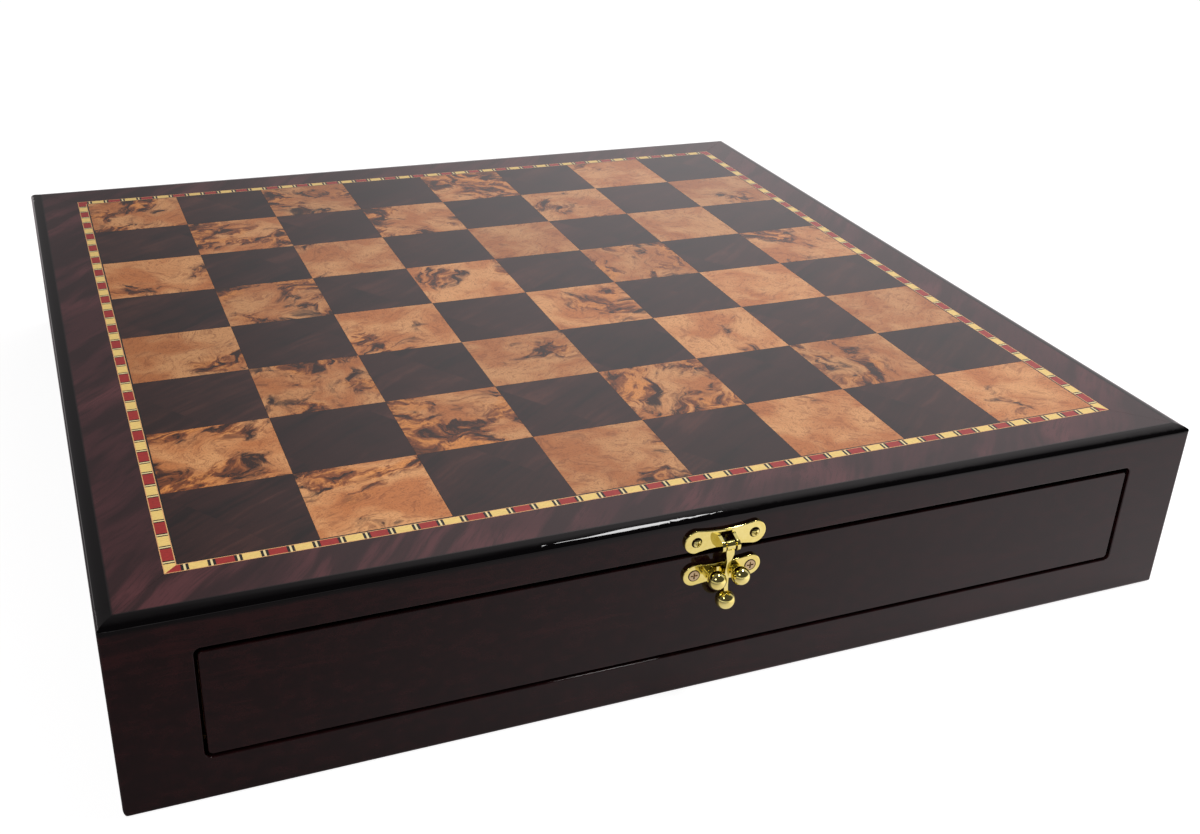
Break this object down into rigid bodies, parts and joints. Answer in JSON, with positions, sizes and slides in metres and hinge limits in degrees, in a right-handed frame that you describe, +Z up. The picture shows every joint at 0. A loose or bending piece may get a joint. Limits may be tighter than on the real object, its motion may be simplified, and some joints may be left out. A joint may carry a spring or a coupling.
{
  "type": "chess box with drawers",
  "caption": "Square chess box in dark gloss lacquer: a burl and mahogany board on top, a wide drawer in the front and back, each held by a brass hook latch.",
  "frame": {"origin": "middle of the underside of the case", "axes": "+Z up through the board, -Y out of the front drawer with the latch that the picture shows, +X to the right as seen from the front"},
  "size_m": [0.4092, 0.4278, 0.073],
  "materials": {
    "lacquered_case": "very dark brown stain under polished clear lacquer, black along the upper edge",
    "border_mahogany": "dark red-brown mahogany veneer under polished lacquer, shaded to black at its outer edge",
    "dark_mahogany": "near-black mahogany veneer under polished lacquer",
    "light_burl": "orange-brown burl veneer with dark swirls and eyes under polished lacquer",
    "banding": "inlaid blocks of yellow and red wood between black and white lines, under polished lacquer",
    "bare_wood": "plain wood, thinly sealed",
    "plywood": "thin plywood, sealed",
    "fibreboard": "raw fibreboard, covered by the veneers",
    "felt": "dark green felt",
    "brass": "polished bright brass"
  },
  "bodies": {
    "case": {"front_frame": "lacquered_case", "back_frame": "lacquered_case", "left_side": "lacquered_case", "right_side": "lacquered_case", "bottom_panel": "plywood", "board_core": "fibreboard", "centre_partition": "bare_wood", "dark_squares": "dark_mahogany", "light_squares": "light_burl", "inlay_banding": "banding", "border_veneer": "border_mahogany", "front_bearers": "bare_wood", "front_guides": "bare_wood", "front_kickers": "bare_wood", "front_stop_pads": "felt", "front_hook_plate": "brass", "front_hook_plate_screws": "brass", "front_hinge_pin": "brass", "back_bearers": "bare_wood", "back_guides": "bare_wood", "back_kickers": "bare_wood", "back_stop_pads": "felt", "back_hook_plate": "brass", "back_hook_plate_screws": "brass", "back_hinge_pin": "brass"},
    "front_drawer": {"front_drawer_front": "lacquered_case", "front_drawer_left_side": "bare_wood", "front_drawer_right_side": "bare_wood", "front_drawer_back": "bare_wood", "front_drawer_bottom": "plywood", "front_drawer_felt": "felt", "front_row_dividers": "bare_wood", "front_column_dividers": "bare_wood", "front_catch": "brass", "front_catch_screws": "brass"},
    "front_hook": {"front_hook": "brass"},
    "back_drawer": {"back_drawer_front": "lacquered_case", "back_drawer_left_side": "bare_wood", "back_drawer_right_side": "bare_wood", "back_drawer_back": "bare_wood", "back_drawer_bottom": "plywood", "back_drawer_felt": "felt", "back_row_dividers": "bare_wood", "back_column_dividers": "bare_wood", "back_catch": "brass", "back_catch_screws": "brass"},
    "back_hook": {"back_hook": "brass"}
  },
  "joints": [
    {"name": "front_drawer_slide", "type": "slide", "parent": "case", "child": "front_drawer", "axis": [0, -1, 0], "range_m": [0, 0.174]},
    {"name": "front_hook_swing", "type": "hinge", "parent": "case", "child": "front_hook", "pos_m": [0, -0.2086, 0.0621], "axis": [-1, 0, 0], "range_deg": [0, 190]},
    {"name": "back_drawer_slide", "type": "slide", "parent": "case", "child": "back_drawer", "axis": [0, 1, 0], "range_m": [0, 0.174]},
    {"name": "back_hook_swing", "type": "hinge", "parent": "case", "child": "back_hook", "pos_m": [0, 0.2086, 0.0621], "axis": [1, 0, 0], "range_deg": [0, 190]}
  ]
}
